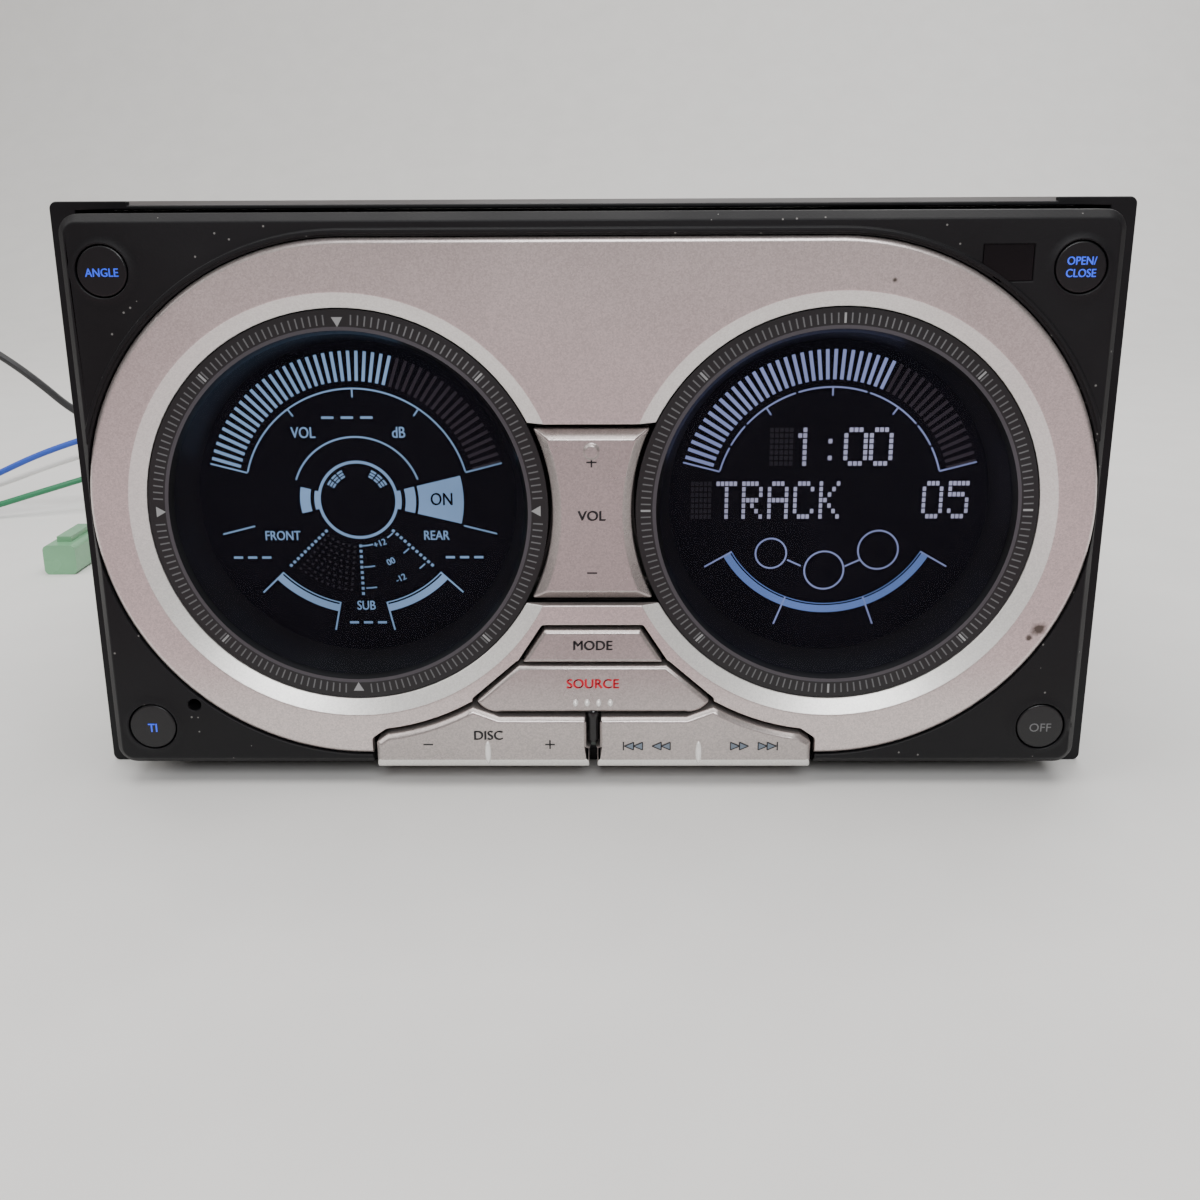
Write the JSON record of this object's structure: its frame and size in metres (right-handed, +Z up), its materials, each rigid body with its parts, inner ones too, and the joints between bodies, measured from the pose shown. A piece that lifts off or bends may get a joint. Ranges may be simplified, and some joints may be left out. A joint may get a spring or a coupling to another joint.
{
  "type": "car disc player",
  "caption": "Double-height car player for compact discs and minidiscs, with two round displays on a motor-driven silver and black front panel that slides out and tilts.",
  "frame": {"origin": "centre of the bottom of the box round the player without its loose leads", "axes": "+X to the driver's right, +Y from the front panel to the rear sockets, +Z up"},
  "size_m": [0.3951, 0.2354, 0.1],
  "materials": {
    "case_steel": "zinc-plated sheet, dull",
    "bright_steel": "machined",
    "frame_black": "fine texture",
    "silver_paint": "satin metallic",
    "ring_black": "satin with pale ticks",
    "key_black": "satin",
    "lens_clear": "clear, thin",
    "ir_dark": "dark red, polished",
    "board_green": "solder mask",
    "sink_aluminium": "cast, sand blasted",
    "socket_plastic": "moulded",
    "socket_metal": "nickel plated",
    "acetal": "waxy",
    "felt": "short pile",
    "rubber_black": "soft",
    "door_plastic": "satin",
    "table_plastic": "satin",
    "display_left": "lit blue gauge on a dark ground",
    "display_right": "lit blue gauge on a dark ground",
    "blue_insulation": "vinyl",
    "white_insulation": "vinyl",
    "green_insulation": "vinyl",
    "yellow_insulation": "vinyl",
    "black_insulation": "vinyl",
    "plug_plastic": "moulded",
    "terminal_metal": "tinned",
    "fuse_plastic": "translucent green"
  },
  "bodies": {
    "chassis": {"bottom_case": "case_steel", "top_cover": "case_steel", "cover_screws": "bright_steel", "front_frame": "frame_black", "slot_face": "frame_black", "slot_felts": "felt", "main_board": "board_green", "heatsink": "sink_aluminium", "power_connector": "socket_plastic", "antenna_socket": "socket_metal", "audio_jacks": "socket_plastic", "arm_guides": "acetal", "drive_motor": "bright_steel", "md_deck_frame": "case_steel", "md_motor": "bright_steel", "deck_dampers": "rubber_black", "cd_deck_frame": "case_steel", "disc_motor": "bright_steel", "guide_rods": "bright_steel", "harness_plug": "plug_plastic", "blue_lead": "blue_insulation", "white_lead": "white_insulation", "green_lead": "green_insulation", "yellow_lead": "yellow_insulation", "black_lead": "black_insulation", "lead_terminals": "terminal_metal", "inline_fuse": "fuse_plastic"},
    "slide_arms": {"left_arm": "bright_steel", "right_arm": "bright_steel"},
    "panel": {"panel_bezel": "frame_black", "panel_back": "frame_black", "silver_fascia": "silver_paint", "left_dial_ring": "ring_black", "right_dial_ring": "ring_black", "dial_lenses": "lens_clear", "left_display": "display_left", "right_display": "display_right", "panel_board": "board_green", "ir_window": "ir_dark"},
    "drive_shaft": {"drive_shaft": "bright_steel", "drive_gears": "acetal"},
    "motor_pinion": {"motor_pinion": "acetal"},
    "md_door": {"md_door": "door_plastic"},
    "md_holder": {"md_holder": "case_steel"},
    "md_spindle": {"md_spindle": "table_plastic"},
    "cd_turntable": {"cd_turntable": "table_plastic"},
    "clamp_arm": {"clamp_arm": "case_steel"},
    "clamp_puck": {"clamp_puck": "acetal"},
    "feed_roller": {"feed_roller": "rubber_black"},
    "cd_pickup": {"cd_pickup": "acetal"},
    "lead_screw": {"lead_screw": "bright_steel"},
    "angle_button": {"angle_button": "key_black"},
    "open_button": {"open_button": "key_black"},
    "info_button": {"info_button": "key_black"},
    "off_button": {"off_button": "key_black"},
    "mode_button": {"mode_button": "silver_paint"},
    "source_button": {"source_button": "silver_paint"},
    "volume_rocker": {"volume_rocker": "silver_paint"},
    "disc_rocker": {"disc_rocker": "silver_paint"},
    "track_rocker": {"track_rocker": "silver_paint"}
  },
  "joints": [
    {"name": "panel_slide", "type": "slide", "parent": "chassis", "child": "slide_arms", "axis": [0, -1, 0], "range_m": [0, 0.104]},
    {"name": "panel_tilt", "type": "hinge", "parent": "slide_arms", "child": "panel", "pos_m": [0, -0.0769, 0.01], "axis": [-1, 0, 0], "range_deg": [0, 70.2]},
    {"name": "drive_shaft_turn", "type": "hinge", "parent": "chassis", "child": "drive_shaft", "pos_m": [0, -0.0489, 0.02115], "axis": [1, 0, 0], "continuous": true},
    {"name": "motor_pinion_turn", "type": "hinge", "parent": "chassis", "child": "motor_pinion", "pos_m": [-0.06, -0.0321, 0.02115], "axis": [1, 0, 0], "continuous": true},
    {"name": "md_door_swing", "type": "hinge", "parent": "chassis", "child": "md_door", "pos_m": [0, -0.0667, 0.0646], "axis": [1, 0, 0], "range_deg": [0, 78], "stiffness_Nm_per_rad": 0.001},
    {"name": "md_holder_lower", "type": "slide", "parent": "chassis", "child": "md_holder", "axis": [0, 0, -1], "range_m": [0, 0.004]},
    {"name": "md_spindle_spin", "type": "hinge", "parent": "chassis", "child": "md_spindle", "pos_m": [0, -0.0199, 0.05], "axis": [0, 0, 1], "continuous": true},
    {"name": "turntable_spin", "type": "hinge", "parent": "chassis", "child": "cd_turntable", "pos_m": [0, 0.0011, 0.084], "axis": [0, 0, 1], "continuous": true},
    {"name": "clamp_lift", "type": "hinge", "parent": "chassis", "child": "clamp_arm", "pos_m": [0, 0.0671, 0.0902], "axis": [-1, 0, 0], "range_deg": [0, 5]},
    {"name": "clamp_puck_spin", "type": "hinge", "parent": "clamp_arm", "child": "clamp_puck", "pos_m": [0, 0.0011, 0.089], "axis": [0, 0, 1], "continuous": true},
    {"name": "feed_roller_turn", "type": "hinge", "parent": "chassis", "child": "feed_roller", "pos_m": [0, -0.0549, 0.081], "axis": [1, 0, 0], "continuous": true},
    {"name": "pickup_slide", "type": "slide", "parent": "chassis", "child": "cd_pickup", "axis": [0, 1, 0], "range_m": [0, 0.034]},
    {"name": "lead_screw_turn", "type": "hinge", "parent": "chassis", "child": "lead_screw", "pos_m": [-0.013, 0.0421, 0.0795], "axis": [0, 1, 0], "continuous": true},
    {"name": "angle_button_press", "type": "slide", "parent": "panel", "child": "angle_button", "axis": [0, 1, 0], "range_m": [0, 0.0008], "stiffness_N_per_m": 500},
    {"name": "open_button_press", "type": "slide", "parent": "panel", "child": "open_button", "axis": [0, 1, 0], "range_m": [0, 0.0008], "stiffness_N_per_m": 500},
    {"name": "info_button_press", "type": "slide", "parent": "panel", "child": "info_button", "axis": [0, 1, 0], "range_m": [0, 0.0008], "stiffness_N_per_m": 500},
    {"name": "off_button_press", "type": "slide", "parent": "panel", "child": "off_button", "axis": [0, 1, 0], "range_m": [0, 0.0008], "stiffness_N_per_m": 500},
    {"name": "mode_button_press", "type": "slide", "parent": "panel", "child": "mode_button", "axis": [0, 1, 0], "range_m": [0, 0.0008], "stiffness_N_per_m": 500},
    {"name": "source_button_press", "type": "slide", "parent": "panel", "child": "source_button", "axis": [0, 1, 0], "range_m": [0, 0.0008], "stiffness_N_per_m": 500},
    {"name": "volume_rocker_tilt", "type": "hinge", "parent": "panel", "child": "volume_rocker", "pos_m": [0, -0.0877, 0.04895], "axis": [1, 0, 0], "range_deg": [-3, 3], "stiffness_Nm_per_rad": 0.1},
    {"name": "disc_rocker_tilt", "type": "hinge", "parent": "panel", "child": "disc_rocker", "pos_m": [-0.01925, -0.0871, 0.0085], "axis": [0, 0, 1], "range_deg": [-1.5, 1.5], "stiffness_Nm_per_rad": 0.1},
    {"name": "track_rocker_tilt", "type": "hinge", "parent": "panel", "child": "track_rocker", "pos_m": [0.01925, -0.0871, 0.0085], "axis": [0, 0, 1], "range_deg": [-1.5, 1.5], "stiffness_Nm_per_rad": 0.1}
  ],
  "couplings": [
    {"joint": "panel_tilt", "follows": "panel_slide", "rad_per_m": 11.765},
    {"joint": "drive_shaft_turn", "follows": "panel_slide", "rad_per_m": -142.86},
    {"joint": "motor_pinion_turn", "follows": "panel_slide", "rad_per_m": 357.14},
    {"joint": "clamp_puck_spin", "follows": "turntable_spin", "ratio": 1},
    {"joint": "lead_screw_turn", "follows": "pickup_slide", "rad_per_m": 2094.4}
  ]
}
